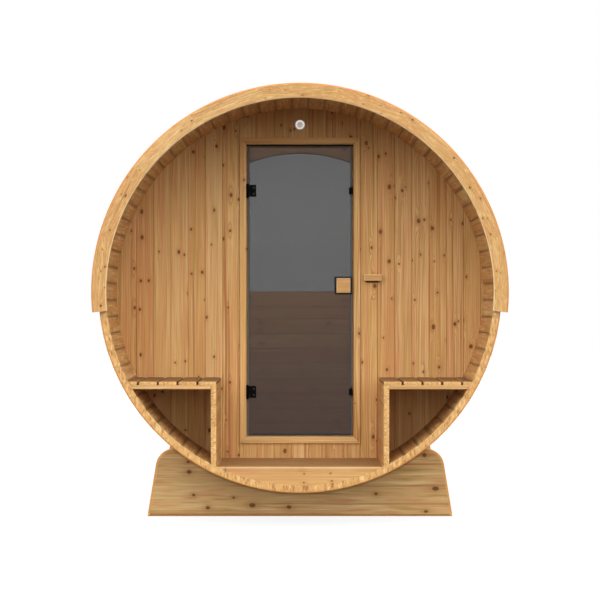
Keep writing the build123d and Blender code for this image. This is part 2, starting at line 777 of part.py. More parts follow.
with BuildPart() as rear_wall:
    with BuildSketch(lengthwise(-wall_radius)):
        for board in range(rear_boards):
            board_middle = rail_bottom - (board + 0.5) * wall_board_cover
            with Locations(Location((window_centre_y, board_middle, 0), (0, 0, 90))):
                add(wall_board)
    extrude(amount=2 * wall_radius)
    with BuildSketch(across(rear_wall_face)):
        with Locations((0, rail_bottom - wall_radius)):
            Rectangle(2 * wall_radius, 2 * wall_radius)
    extrude(amount=end_wall_thickness, mode=Mode.INTERSECT)
    end_wall_disc(rear_wall_face)
write(rear_wall, "rear_wall_boards")

with BuildPart() as window_rail:
    with BuildSketch(across(rear_wall_face)):
        with Locations((0, window_sill_above_axis - window_rail_height / 2)):
            Rectangle(2 * wall_radius, window_rail_height)
        Circle(wall_radius, mode=Mode.INTERSECT)
    extrude(amount=end_wall_thickness)
    glazing_groove()
write(window_rail, "window_rail")

with BuildPart() as window_rim:
    rim_span = 180.0 / window_rim_segments
    with BuildSketch(across(rear_wall_face)):
        with PolarLocations(0, window_rim_segments, rim_span / 2, 180):
            add(ring_piece(window_radius, wall_radius, rim_span - segment_gap))
        with Locations((0, window_sill_above_axis + joint_gap + wall_radius)):
            Rectangle(3 * wall_radius, 2 * wall_radius, mode=Mode.INTERSECT)
    extrude(amount=end_wall_thickness)
    glazing_groove()
write(window_rim, "window_rim")

with BuildPart() as window_glass:
    with BuildSketch(across(window_centre_y + glass_thickness / 2)):
        Circle(glass_edge_radius)
        with Locations((0, window_sill_above_axis - glazing_depth + glass_edge_radius)):
            Rectangle(3 * glass_edge_radius, 2 * glass_edge_radius, mode=Mode.INTERSECT)
    extrude(amount=glass_thickness)
write(window_glass, "window_glass")

# ---- Cradles: sawn saddles that carry the barrel ----
cradle_lean = cradle_height * tan(radians(cradle_slope))
for cradle_name, cradle_y in (("cradle_front", cradle_place), ("cradle_rear", -cradle_place)):
    with BuildPart() as cradle:
        with BuildSketch(across(cradle_y + cradle_thickness / 2)) as saddle:
            with BuildLine():
                Polyline(
                    (-cradle_width / 2, -axis_height),
                    (cradle_width / 2, -axis_height),
                    (cradle_width / 2 - cradle_lean, cradle_height - axis_height),
                    (-cradle_width / 2 + cradle_lean, cradle_height - axis_height),
                    close=True,
                )
            make_face()
            fillet(saddle.vertices().group_by(Axis.Y)[-1], cradle_corner)
            Circle(corner_radius + seat_gap, mode=Mode.SUBTRACT)
        extrude(amount=cradle_thickness)
        straight = cradle.edges().filter_by(GeomType.LINE).filter_by(Axis.Y, reverse=True)
        corners = cradle.edges().filter_by(GeomType.CIRCLE).filter_by(lambda e: e.radius < corner_radius)
        chamfer(straight + corners, cradle_edge)
    write(cradle, cradle_name)
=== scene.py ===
# Barrel sauna: wood, glass and metal finishes, fixings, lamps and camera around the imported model.
import json
import math

import bmesh
import bpy
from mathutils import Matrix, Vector
from mathutils.bvhtree import BVHTree


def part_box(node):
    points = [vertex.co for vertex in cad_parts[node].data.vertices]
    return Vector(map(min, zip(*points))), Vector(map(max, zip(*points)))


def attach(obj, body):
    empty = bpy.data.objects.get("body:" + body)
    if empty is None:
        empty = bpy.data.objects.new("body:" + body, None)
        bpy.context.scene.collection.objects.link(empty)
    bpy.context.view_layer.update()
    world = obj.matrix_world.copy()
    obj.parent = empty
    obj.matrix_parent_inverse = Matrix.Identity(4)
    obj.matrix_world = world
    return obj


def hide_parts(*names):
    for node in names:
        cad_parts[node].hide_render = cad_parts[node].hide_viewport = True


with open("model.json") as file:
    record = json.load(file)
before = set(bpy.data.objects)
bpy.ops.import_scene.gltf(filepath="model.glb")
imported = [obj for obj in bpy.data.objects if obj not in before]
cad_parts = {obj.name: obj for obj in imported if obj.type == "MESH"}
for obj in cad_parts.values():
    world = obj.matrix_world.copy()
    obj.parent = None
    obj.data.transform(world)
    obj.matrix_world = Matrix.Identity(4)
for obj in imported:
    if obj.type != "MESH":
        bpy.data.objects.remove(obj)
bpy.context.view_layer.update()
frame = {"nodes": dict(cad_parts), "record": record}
nodes = frame["nodes"]
print("frame loaded:", len(nodes), "nodes")


# Places read from the frame
def low(node):
    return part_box(node)[0]


def high(node):
    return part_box(node)[1]


axisZ = (low("staves_keel").z + high("staves_crown").z) / 2  # the barrel's centre line
frontFace = low("fascia_front").y
wallFace = low("front_wall_left").y
doorMiddle = (low("door_frame").z + high("door_frame").z) / 2


# Shader sums: a socket that takes part in ordinary arithmetic
class Term:
    def __init__(self, paint, socket):
        self.paint, self.socket = paint, socket

    def math(self, operation, other=None, flipped=False):
        pair = [other, self] if flipped else [self, other]
        sockets = {i: value for i, value in enumerate(pair) if value is not None}
        return self.paint.add("Math", {"operation": operation}, sockets)

    def __add__(self, other):
        return self.math("ADD", other)

    def __radd__(self, other):
        return self.math("ADD", other, True)

    def __sub__(self, other):
        return self.math("SUBTRACT", other)

    def __rsub__(self, other):
        return self.math("SUBTRACT", other, True)

    def __mul__(self, other):
        return self.math("MULTIPLY", other)

    def __rmul__(self, other):
        return self.math("MULTIPLY", other, True)

    def __truediv__(self, other):
        return self.math("DIVIDE", other)


class Paint:
    def __init__(self, name):
        self.material = bpy.data.materials.new(name)
        self.material.use_nodes = True
        self.tree = self.material.node_tree
        self.tree.nodes.clear()
        self.x, self.y, self.z = self.split(self.add("TexCoord", output="Object"))
        facing = self.split(self.add("TexCoord", output="Normal"))
        self.facing = [part.math("ABSOLUTE") for part in facing]
        self.facingUp = facing[2]

    def add(self, kind, settings=None, sockets=None, output=0):
        node = self.tree.nodes.new("ShaderNode" + kind)
        for key, value in (settings or {}).items():
            setattr(node, key, value)
        for key, value in (sockets or {}).items():
            if isinstance(value, Term):
                self.tree.links.new(value.socket, node.inputs[key])
            else:
                node.inputs[key].default_value = value
        return Term(self, node.outputs[output])

    def vector(self, x, y, z=0.0):
        return self.add("CombineXYZ", sockets={0: x, 1: y, 2: z})

    def split(self, value):
        node = self.add("SeparateXYZ", sockets={0: value}).socket.node
        return [Term(self, node.outputs[i]) for i in range(3)]

    def smooth(self, value, start, end):
        return self.add("MapRange", {"interpolation_type": "SMOOTHSTEP"}, {0: value, 1: start, 2: end})

    def noise(self, vector, detail=2.0, rough=0.5, spread=0.22):
        sockets = {"Vector": vector, "Scale": 1.0, "Detail": detail, "Roughness": rough}
        plain = self.add("TexNoise", sockets=sockets)
        return self.add("MapRange", sockets={0: plain, 1: 0.5 - spread, 2: 0.5 + spread})

    def random(self, first, second, salt):
        colour = self.add("TexWhiteNoise", {"noise_dimensions": "3D"}, {0: self.vector(first, second, salt)}, 1)
        split = self.add("SeparateColor", sockets={0: colour}).socket.node
        return [Term(self, split.outputs[i]) for i in range(3)]

    def mix(self, share, first, second):
        pair = [(*c, 1.0) if isinstance(c, tuple) else c for c in (first, second)]
        return self.add("Mix", {"data_type": "RGBA"}, {0: share, 6: pair[0], 7: pair[1]}, 2)

    def bump(self, height, depth, strength=1.0):
        return self.add("Bump", sockets={"Height": height, "Distance": depth, "Strength": strength})

    def surface(self, sockets, fixed=None):
        shader = self.add("BsdfPrincipled", sockets={**(fixed or {}), **sockets})
        out = self.tree.nodes.new("ShaderNodeOutputMaterial")
        self.tree.links.new(shader.socket, out.inputs[0])
        return self.material


def srgb(text):
    parts = [int(text[i : i + 2], 16) / 255 for i in (0, 2, 4)]
    return tuple(c / 12.92 if c <= 0.04045 else ((c + 0.055) / 1.055) ** 2.4 for c in parts)


def linked(name, data):
    made = bpy.data.objects.new(name, data)
    bpy.context.scene.collection.objects.link(made)
    return made


def dress(names, material):
    for name in names:
        mesh = nodes[name].data
        mesh.materials.clear()
        mesh.materials.append(material)


# Camera: level, on the middle line, far back with a long lens
camera = {"height": axisZ - 0.047, "back": 9.9, "lens": 120.0, "sensor": 36.0, "shift": 0.0018, "reach": 200.0}
cameraObject = linked("camera", bpy.data.cameras.new("camera"))
cameraObject.data.lens = camera["lens"]
cameraObject.data.sensor_width = camera["sensor"]
cameraObject.data.shift_y = camera["shift"]
cameraObject.data.clip_end = camera["reach"]
cameraObject.location = (0.0, frontFace - camera["back"], camera["height"])
cameraObject.rotation_euler = (math.radians(90), 0, 0)
bpy.context.scene.camera = cameraObject
bpy.context.scene.view_settings.view_transform = "Standard"


# Pine: growth rings round a pith, broad streaks, fine fibre, and knots that push the rings aside
pine = {
    "golden": srgb("D8AE6C"),
    "rosy": srgb("CE9660"),
    "light": srgb("EACB90"),
    "pink": srgb("D08C60"),
    "olive": srgb("B4944E"),
    "tan": srgb("B8824A"),
    "late": srgb("A26A38"),
    "streak": srgb("96552C"),
    "knot": srgb("7C4A1E"),
    "knotEdge": srgb("54300F"),
    "halo": srgb("AA7038"),
    "edge": srgb("CC8032"),
    "end": srgb("D8A868"),
    "paintedShade": srgb("3E2410"),
    "paintedHighlight": srgb("F4D8A4"),
    "joint": srgb("4A2C14"),
    "wornAndShaded": srgb("7E5C36"),
}


# How often each pattern changes in a metre: across and along the board
grain = {
    "wide": (34.0, 0.9),
    "band": (85.0, 1.5),
    "blush": (60.0, 1.8),
    "fine": (150.0, 2.4),
    "rare": (60.0, 0.6),
    "fibre": (900.0, 14.0),
    "cloud": (10.0, 2.4),
    "figure": (150.0, 26.0),
    "warp": (60.0, 4.0),
    "knotOutline": (190.0, 120.0),
    "scuff": (18.0, 6.0),
}

# The pith under a board: how far sideways and how deep it lies, how it wanders, how ragged its rings are
pith = {"span": 0.14, "wander": 0.03, "sway": 0.005, "least": 0.012, "depths": 0.1, "ragged": 0.0014}

# Knots: how ragged, how round, how far their colour and the bent rings reach along the board
knotShape = {"ragged": 0.35, "round": (0.35, 0.5), "spread": 3.0, "hazeLength": 60.0, "bulgeLength": 70.0, "bulge": 1.6}


def wood(p, board, look):
    u, l, d, number = board["across"], board["along"], board["depth"], board["number"]
    salt = look.get("salt", 1.0)
    variety = look.get("variety", 1.0)
    r1, r2, r3 = p.random(number, 3.7, salt)
    r4, r5, r6 = p.random(number, 8.1, salt)
    wideness, length = look.get("streakWidth", 1.0), look.get("streakLength", 1.0)

    def pattern(kind, layer, detail, rough=0.5, stretch=(1.0, 1.0), spread=0.22):
        # layer: any number that sets boards and patterns apart
        across, along = grain[kind]
        return p.noise(p.vector(u * across / stretch[0], l * along / stretch[1], layer), detail, rough, spread)

    # knots: at most one to a cell of the board's face, and none on sawn ends
    cellU, cellL = look.get("knotCell", (0.045, 0.19))
    spotU = u / cellU + number * 7.31
    spotL = l / cellL + r1 * 53.0
    spot = p.vector(spotU, spotL)
    cells = p.add("TexVoronoi", {"voronoi_dimensions": "2D"}, {"Vector": spot, "Scale": 1.0, "Randomness": 0.9})
    cells = cells.socket.node
    place = p.split(Term(p, cells.outputs["Position"]))
    du = (spotU - place[0]) * cellU
    dl = (spotL - place[1]) * cellL
    c1, c2, c3 = p.split(Term(p, cells.outputs["Color"]))
    small, large = look.get("knot", (0.0028, 0.0078))
    flat, varied = knotShape["round"]
    keep = c2.math("LESS_THAN", look.get("knots", 0.5))
    radius = (c1 * c1 * (large - small) + small) * keep + 0.00001
    wobble = (pattern("knotOutline", number, 3.0) - 0.5) * knotShape["ragged"]
    reach = (du * du + dl * dl * (c3 * varied + flat)).math("SQRT") / radius + wobble
    core = p.smooth(reach, 1.1, 0.7) * keep
    rim = p.smooth(reach, 0.5, 0.9) * p.smooth(reach, 1.4, 1.0) * keep
    halo = (reach * reach * -0.13).math("EXPONENT") * keep

    def trail(lengthwise):
        aside = (du * du) / (radius * radius * knotShape["spread"])
        return ((aside + (dl * dl) / (radius * radius * lengthwise)) * -1.0).math("EXPONENT")

    if "haze" in look:  # a brown haze trails from each knot along the board
        halo = (halo + trail(knotShape["hazeLength"]) * keep * look["haze"]).math("MINIMUM", 1.5)
    if "end" in board:
        sawnEnd = p.smooth(board["end"], 0.75, 0.9)
        onFace = 1.0 - sawnEnd
        core, rim, halo = core * onFace, rim * onFace, halo * onFace
    bulge = trail(knotShape["bulgeLength"]) * radius * knotShape["bulge"]
    # growth rings round a pith that lies under the board and wanders a little
    slow = p.noise(p.vector(l * 0.8, number * 3.1, 4.0 + salt), 1.0) - 0.5
    sway = p.noise(p.vector(l * 2.3, number * 2.3, 9.0 + salt), 2.0) - 0.5
    pithU = u - (r1 - 0.5) * pith["span"] - slow * pith["wander"] - sway * pith["sway"]
    pithD = d + r2 * pith["depths"] + pith["least"]
    warp = (pattern("warp", d * 60.0 + number * 1.7, 2.0) - 0.5) * pith["ragged"]
    radial = (pithU * pithU + pithD * pithD).math("SQRT") + warp + bulge
    ringGap = look.get("ring", 0.0042)
    rings = radial / (r3 * 0.7 * ringGap + ringGap * 0.75)
    ringNumber = rings.math("FLOOR")
    phase = rings - ringNumber
    ringDark = p.random(ringNumber, number, salt + 3.0)[0]
    late = p.smooth(phase, 0.3, 0.92) * p.smooth(phase, 1.0, 0.94) * (ringDark * 0.75 + 0.25)
    # streaks along the board, from broad to fine, then clouds and fibre
    wide = pattern("wide", number * 5.3 + salt, 2.0, 0.6, (wideness, length))
    band = pattern("band", number * 7.7 + salt, 2.0, 0.6, (wideness, length))
    blush = pattern("blush", number * 6.1 + salt, 2.0, 0.6, (wideness, length))
    fine = pattern("fine", d * 60.0 + number * 3.3, 3.0, 0.65, (1.0, length))
    rare = p.smooth(pattern("rare", number * 9.7 + salt * 2.0, 1.0), 0.78, 1.0)
    fibre = pattern("fibre", d * 900.0, 2.0, 0.6, spread=0.3)
    cloud = pattern("cloud", number * 2.9 + 20.0, 3.0)
    colour = p.mix((wide * 0.75 + r4 * 0.5 - 0.12) * variety, pine["golden"], pine["rosy"])
    colour = p.mix(p.smooth(r5 + wide * 0.3, 0.75, 1.15) * 0.45, colour, pine["light"])
    colour = p.mix(p.smooth(blush, 0.5, 1.0) * look.get("blush", 0.5), colour, pine["pink"])
    colour = p.mix(p.smooth(blush, 0.45, 0.0) * look.get("blush", 0.5), colour, pine["olive"])
    colour = p.mix(p.smooth(band, 0.5, 0.95) * look.get("bands", 0.6), colour, pine["light"])
    if "brown" in look:
        colour = p.mix(p.smooth(band, 0.45, 0.05) * look["brown"], colour, pine["late"])
    colour = p.mix((fine - 0.35) * look.get("lines", 0.55) + (r6 - 0.5) * 0.25 * variety, colour, pine["tan"])
    colour = p.mix(late * (r2 * 0.3 + look.get("contrast", 0.36)), colour, pine["late"])
    colour = p.mix(rare * look.get("streak", 0.4), colour, pine["streak"])
    colour = p.mix(cloud * 0.14, colour, pine["halo"])
    colour = p.mix(fibre * 0.12, colour, pine["late"])
    if "figure" in look:  # short mottled flecks
        figure = pattern("figure", number * 4.1 + salt, 3.0, 0.7)
        colour = p.mix(p.smooth(figure, 0.55, 0.95) * look["figure"], colour, pine["tan"])
        colour = p.mix(p.smooth(figure, 0.4, 0.1) * look["figure"] * 0.7, colour, pine["light"])
    if "end" in board:  # sawn ends: short strokes of the rings
        strokes = p.noise(board.get("strokes", p.vector(u * 130.0, d * 60.0, number)), 3.0, 0.65)
        dark = late * 0.25 + p.smooth(strokes, 0.5, 0.95) * 0.85 + (r4 - 0.5) * 0.3
        sawn = p.mix(dark, pine["end"], pine["late"])
        sawn = p.mix(p.smooth(strokes, 0.45, 0.1) * 0.8, sawn, pine["light"])
        # painted edge tone: sawn ends turn orange toward their outer rim
        if "rim" in board:
            sawn = p.mix(board["rim"] * 0.75, sawn, pine["edge"])
        colour = p.mix(sawnEnd, colour, sawn)
    colour = p.mix(halo * 0.4, colour, pine["halo"])
    colour = p.mix(core, colour, pine["knot"])
    colour = p.mix(rim * 0.6, colour, pine["knotEdge"])
    # painted edge highlight: eased edges turn a warmer orange
    if "edge" in board:
        colour = p.mix(board["edge"] * 0.75, colour, look.get("edgeColour", pine["edge"]))
    # painted highlight: a pale colour on edges where light catches
    if "paintedHighlight" in board:
        colour = p.mix(board["paintedHighlight"] * 0.85, colour, pine["paintedHighlight"])
    if "wornAndShaded" in look:  # upper faces dulled by feet and weather, and painted darker as shade on top faces
        scuffed = pattern("scuff", number + 31.0, 3.0) * 0.25 + 0.75
        colour = p.mix(p.smooth(p.facingUp, 0.6, 0.9) * scuffed * look["wornAndShaded"], colour, pine["wornAndShaded"])
    # painted shade: a dark brown laid where shadow falls
    if "paintedShade" in board:
        colour = p.mix(board["paintedShade"], colour, pine["paintedShade"])
    joint = 0.0
    if "half" in board:
        width, strength = look.get("joint", (0.0025, 0.5))
        joint = p.smooth(u.math("ABSOLUTE"), board["half"] - width, board["half"])
        if "end" in board:
            joint = joint * (1.0 - sawnEnd * look.get("endJoint", 0.75))
        colour = p.mix(joint * strength, colour, pine["joint"])
    height = fibre * 0.25 - late * 0.5 - core * 0.8 - joint * 1.5
    rough = 0.66 - late * 0.08 + fibre * 0.1 - core * 0.12
    return p.surface(
        {"Base Color": colour, "Roughness": rough, "Normal": p.bump(height, 0.0005, look.get("bump", 0.6))},
        {"Specular IOR Level": 0.3},
    )


# How strongly a sloping face counts as an eased edge: from nearly flat to nearly upright. These faces are painted a
# warmer orange, a painted edge highlight
def bevelMask(p):
    return p.smooth(p.facing[1], 0.25, 0.45) * p.smooth(p.facing[1], 0.95, 0.85)


sawnRim = (0.009, 0.016)  # how far outside the middle radius a sawn end grows darker, the same painted orange edge tone


def boardsRound(p, pitch, offset=0.0, radius=0.98):
    # boards lying along the barrel, side by side round it
    rise = p.z - axisZ
    turn = rise.math("ARCTAN2", p.x) / math.radians(pitch) - offset
    number = (turn + 0.5).math("FLOOR")
    out = (p.x * p.x + rise * rise).math("SQRT")
    return {
        "across": (turn - number) * (math.radians(pitch) * radius),
        "along": p.y,
        "depth": out - radius,
        "number": number,
        "end": p.facing[1],
        "edge": bevelMask(p),
        "half": math.radians(pitch) * radius / 2,
        "strokes": p.vector(p.x * 78.0 + number * 3.7, rise * 24.0, number * 5.1),
        "rim": p.smooth(out, radius + sawnRim[0], radius + sawnRim[1]),
    }


def sawnArc(p, pitch, start, radius, side):
    # straight-grained pieces sawn to an arc; start is the first piece's clockwise end, from +X
    rise = p.z - axisZ
    angle = rise.math("ARCTAN2", p.x) / math.radians(1.0)
    angle = (angle - (start - 1.0)).math("FLOORED_MODULO", 360.0) + (start - 1.0) if start < -1 else angle
    turn = (angle - start) / pitch
    number = turn.math("FLOOR")
    lean = (number * pitch + (start + pitch / 2 - 90.0)) * math.radians(1.0)
    c, s = lean.math("COSINE"), lean.math("SINE")
    along = p.x * c + rise * s
    across = rise * c - p.x * s - radius
    return {"across": across, "along": along, "depth": p.y - side, "number": number}


def straight(across, along, depth, number, end=None, half=None):
    board = {"across": across, "along": along, "depth": depth, "number": number}
    if half is not None:
        board["half"] = half
    if end is not None:
        board["end"] = end
    return board


def row(value, start, pitch):
    turn = (value - start) / pitch
    number = turn.math("FLOOR")
    return number, (turn - number - 0.5) * pitch


# Staves, roof boards and fascias
stavePitch = 5.0
staveLook = {
    "salt": 1.0,
    "knots": 0.4,
    "joint": (0.015, 0.42),
    "streakLength": 0.5,
    "brown": 0.4,
    "bands": 0.8,
}
p = Paint("stavePine")
staves = [node for node in nodes if node.startswith("staves_")]
dress(staves, wood(p, boardsRound(p, stavePitch), staveLook))

roofLook = {"salt": 2.0, "knots": 0.5, "wornAndShaded": 0.38}
p = Paint("roofPine")
roof = ["roof_boards_left", "roof_boards_right", "roof_battens"]
dress(roof, wood(p, boardsRound(p, stavePitch, 0.5, 1.02), roofLook))

fascia = {"span": 191.5, "pieces": 9, "middleRadius": 0.9975, "edgeRadius": (0.99, 1.0)}
fasciaLook = {
    "salt": 3.0,
    "knots": 0.42,
    "knotCell": (0.035, 0.09),
    "knot": (0.0018, 0.005),
    "variety": 0.6,
    "figure": 0.8,
    "lines": 0.8,
    "contrast": 0.3,
    "streakLength": 0.35,
}
p = Paint("fasciaPine")
board = sawnArc(p, fascia["span"] / fascia["pieces"], 90 - fascia["span"] / 2, fascia["middleRadius"], frontFace)
outward = ((p.z - axisZ) * (p.z - axisZ) + p.x * p.x).math("SQRT")
bevel = p.smooth(p.facing[1], 0.25, 0.45) * p.smooth(p.facing[1], 0.97, 0.9)
inside, outside = fascia["edgeRadius"]
board["edge"] = bevel * p.smooth(outward, inside, outside)
# painted highlight on the fascia's inner eased edge
board["paintedHighlight"] = bevel * p.smooth(outward, outside, inside)
dress(["fascia_front", "fascia_rear"], wood(p, board, fasciaLook))
print("barrel dressed")

# End walls: upright boards in front, level boards behind
wallBoard = 0.0904
frontWallLook = {
    "salt": 4.0,
    "knots": 0.42,
    "knot": (0.0034, 0.0085),
    "lines": 0.85,
    "contrast": 0.42,
    "streak": 0.6,
    "joint": (0.0022, 0.05),
    "variety": 0.85,
    "blush": 0.75,
}
p = Paint("frontWallPine")
number, across = row(p.x, low("door_frame").x, wallBoard)
board = straight(across, p.z, p.y - wallFace, number, p.facing[2], wallBoard / 2)
gripShadow = {"halfWidth": 0.041, "halfHeight": 0.0075, "strength": 0.85}  # painted shadow under the grip: the wall board is darkened where the grip's shadow falls
gripShadowX = (low("hand_grip").x + high("hand_grip").x) / 2
gripShadowZ = low("hand_grip").z - gripShadow["halfHeight"] * 0.6
offX = (p.x - gripShadowX) / gripShadow["halfWidth"]
offZ = (p.z - gripShadowZ) / gripShadow["halfHeight"]
gripShadowShape = p.smooth(offX * offX * offX * offX + offZ * offZ, 1.15, 0.35)
onFrontFace = p.smooth(p.y, wallFace + 0.004, wallFace + 0.002)
# painted shadow of the grip on the front wall
board["paintedShade"] = gripShadowShape * onFrontFace * gripShadow["strength"]
frontWall = [node for node in nodes if node.startswith("front_wall")]
dress(frontWall, wood(p, board, frontWallLook))

rearWallLook = {"salt": 5.0, "knots": 0.45, "lines": 0.8, "joint": (0.0022, 0.2)}
p = Paint("rearWallPine")
number, across = row(p.z, high("rear_wall_boards").z, wallBoard)
board = straight(across, p.x, p.y - low("rear_wall_boards").y, number, p.facing[0], wallBoard / 2)
dress(["rear_wall_boards"], wood(p, board, rearWallLook))

windowRim = {"pieces": 5, "pitch": 36.0, "middleRadius": 0.905}
p = Paint("windowRimPine")
board = sawnArc(p, windowRim["pitch"], 0.0, windowRim["middleRadius"], low("window_rim").y)
dress(["window_rim"], wood(p, board, {"salt": 6.0, "knots": 0.4}))

p = Paint("windowRailPine")
railCorner, railHalf = low("window_rail"), 0.035
board = straight(p.z - railCorner.z - railHalf, p.x, p.y - railCorner.y, 0.0, p.facing[0])
dress(["window_rail"], wood(p, board, {"salt": 7.0}))

# Door frame: uprights and level pieces meet in mitres
frameHalfWidth = 0.017
p = Paint("doorFramePine")
reachX = p.x.math("ABSOLUTE") - high("door_frame").x
reachZ = (p.z - doorMiddle).math("ABSOLUTE") - (high("door_frame").z - doorMiddle)
upright = (reachX - reachZ).math("GREATER_THAN", 0.0)
level = 1.0 - upright
number = p.x.math("SIGN") * upright + (p.z - doorMiddle).math("SIGN") * level * 3.0
across = reachX * upright + reachZ * level + frameHalfWidth
along = p.z * upright + p.x * level
board = straight(across, along, p.y - wallFace, number)
dress(["door_frame"], wood(p, board, {"salt": 8.0, "knots": 0.3, "variety": 0.7}))

# Porch benches and floors
slat = {"pitch": 0.0985, "sideShade": 0.6}
benchInner = low("bench_slats_right").x
farSide = 20.0  # keeps the two sides' board numbers apart
p = Paint("slatPine")
number, across = row(p.x.math("ABSOLUTE"), benchInner - 0.005, slat["pitch"])
number = number + p.x.math("SIGN") * farSide
board = straight(across, p.y, p.z - high("bench_slats_right").z, number, p.facing[1])
# painted shade: the slats' sides are darkened so the gaps between them read dark
board["paintedShade"] = p.smooth(p.facing[0], 0.8, 0.95) * slat["sideShade"]
slatPine = wood(p, board, {"salt": 9.0, "knots": 0.35, "wornAndShaded": 0.9})
dress(["bench_slats_left", "bench_slats_right"], slatPine)

p = Paint("panelPine")
panelPitch = (high("bench_panel_right").z - low("bench_panel_right").z) / 4
number, across = row(p.z, low("bench_panel_right").z, panelPitch)
number = number + p.x.math("SIGN") * farSide
board = straight(across, p.y, p.x.math("ABSOLUTE") - benchInner, number, p.facing[1])
dress(["bench_panel_left", "bench_panel_right"], wood(p, board, {"salt": 10.0, "knots": 0.35}))

p = Paint("bearerPine")
number = p.x.math("SIGN") + (p.y - (frontFace + wallFace) / 2).math("SIGN") * 4.0
board = straight(p.z - low("bench_bearers").z, p.x, p.y, number, p.facing[0])
dress(["bench_bearers"], wood(p, board, {"salt": 11.0, "knots": 0.25}))

porchBoards = 6
floorTop = high("porch_floor").z
p = Paint("porchFloorPine")
porchFront = low("porch_floor").y - 0.0015
number, across = row(p.y, porchFront, (wallFace - porchFront) / porchBoards)
board = straight(across, p.x, p.z - floorTop, number, p.facing[0])
# painted highlight along the top of the floor's front face
frontEdge = p.smooth(p.facing[1], 0.25, 0.45) * p.smooth(p.z, floorTop - 0.014, floorTop - 0.005)
board["paintedHighlight"] = frontEdge * 0.4
dress(["porch_floor"], wood(p, board, {"salt": 12.0, "knots": 0.4, "wornAndShaded": 0.6}))

cabinBoard = 0.092
p = Paint("cabinFloorPine")
number, across = row(p.x, -cabinBoard / 2, cabinBoard)
board = straight(across, p.y, p.z - floorTop, number, p.facing[1])
dress(["cabin_floor"], wood(p, board, {"salt": 13.0, "knots": 0.4, "wornAndShaded": 0.4}))

p = Paint("joistPine")
number = (p.y * 6.0).math("FLOOR")
joistCorner = low("porch_joists")
board = straight(p.z - joistCorner.z, p.x, p.y - joistCorner.y, number, p.facing[0])
dress(["porch_joists", "cabin_joists"], wood(p, board, {"salt": 14.0}))

# Cradles: wide sawn boards with large knots and eased edges, painted darker along the saddle as shade under the barrel
cradleShade = {"near": (0.070, 0.054, 0.42), "far": (0.12, 0.05, 0.02)}  # from, to, how dark
p = Paint("cradlePine")
cradleLook = {
    "salt": 15.0,
    "knots": 0.55,
    "knotCell": (0.09, 0.24),
    "knot": (0.005, 0.014),
    "haze": 0.6,
    "ring": 0.012,
    "contrast": 0.1,
    "lines": 0.45,
    "streakWidth": 1.6,
    "streakLength": 0.6,
    "bands": 1.0,
    "variety": 0.72,
    "blush": 0.8,
    # painted highlight: the lowest eased edges, which face down into shade, are painted a paler orange
    "edgeColour": p.mix(p.smooth(p.z, 0.02, 0.006), srgb("BE8238"), srgb("FFB45C")),
}
side = p.y.math("SIGN")
board = straight(p.z - 0.15, p.x, p.y - side * 0.5, side)
board["edge"] = bevelMask(p)
saddle = ((p.z - axisZ) * (p.z - axisZ) + p.x * p.x).math("SQRT") - (axisZ - low("staves_keel").z)
# painted shade: the cradle face darkens toward the saddle, where the barrel's shadow falls
saddleShade = [p.smooth(saddle, start, end) * dark for start, end, dark in cradleShade.values()]
board["paintedShade"] = saddleShade[0] + saddleShade[1]
dress(["cradle_front", "cradle_rear"], wood(p, board, cradleLook))

p = Paint("handlePine")
board = straight(p.z, p.x, p.y, 0.0)
# painted highlight on the pulls' and grip's eased edges
board["paintedHighlight"] = bevelMask(p)
dress(["pull_outside", "pull_inside", "hand_grip"], wood(p, board, {"salt": 16.0, "knots": 0.0}))
print("boards dressed")

# Glass
glassWear = {"smear": 0.03, "gloss": 0.02, "doorAlpha": 0.7, "windowAlpha": 0.06}
for name, node, tint, alpha in (
    ("doorGlass", "door_glass", (0.012, 0.012, 0.0125, 1.0), glassWear["doorAlpha"]),
    ("windowGlass", "window_glass", (0.55, 0.6, 0.58, 1.0), glassWear["windowAlpha"]),
):
    p = Paint(name)
    smear = p.noise(p.vector(p.x * 3.0, p.y * 3.0, p.z * 2.0), 3.0)
    rough = smear * glassWear["smear"] + glassWear["gloss"]
    dress([node], p.surface({"Base Color": tint, "Roughness": rough, "Alpha": alpha}, {"IOR": 1.5}))


# Metal and moulded parts: two close colours, clouded or speckled, with a roughness that follows
def speckles(p, scale, detail=3.0):
    across, along, up = scale if isinstance(scale, tuple) else (scale, scale, scale)
    return p.noise(p.vector(p.x * across, p.y * along, p.z * up), detail)


def mottled(name, scale, dark, pale, rough, fixed):
    p = Paint(name)
    spots = speckles(p, scale)
    uneven, even = rough
    return p.surface({"Base Color": p.mix(spots, dark, pale), "Roughness": spots * uneven + even}, fixed)


p = Paint("bandSteel")
sweep = (p.z - axisZ).math("ARCTAN2", p.x)
brushed = p.noise(p.vector(sweep * 6.0, p.y * 1400.0, 0.0), 3.0)
cloudy = p.noise(p.vector(sweep * 9.0, p.y * 12.0, 4.0), 3.0)
colour = p.mix(brushed * 0.6 + cloudy * 0.3, (0.33, 0.325, 0.31), (0.47, 0.465, 0.45))
rough = brushed * 0.15 + cloudy * 0.1 + 0.3
dress(["steel_bands"], p.surface({"Base Color": colour, "Roughness": rough}, {"Metallic": 1.0}))
boltSteel = mottled("boltSteel", 300.0, (0.3, 0.295, 0.28), (0.46, 0.45, 0.44), (0.2, 0.28), {"Metallic": 1.0})
dress(["band_bolts"], boltSteel)

p = Paint("satinBlack")
grainy = speckles(p, 1500.0, 2.0)
satinBlack = p.surface(
    {"Base Color": (0.0022, 0.0022, 0.0026, 1), "Roughness": grainy * 0.1 + 0.4, "Normal": p.bump(grainy, 0.00005)},
    {"Specular IOR Level": 0.04},
)
dress(["hinge_leaves", "hinge_clamps", "door_catches", "door_magnets"], satinBlack)
p = Paint("blueBlack")
rough = speckles(p, 1500.0, 2.0) * 0.1 + 0.35
blueBlack = p.surface({"Base Color": (0.008, 0.012, 0.02, 1), "Roughness": rough}, {"Specular IOR Level": 0.2})
dress(["pull_plate"], blueBlack)

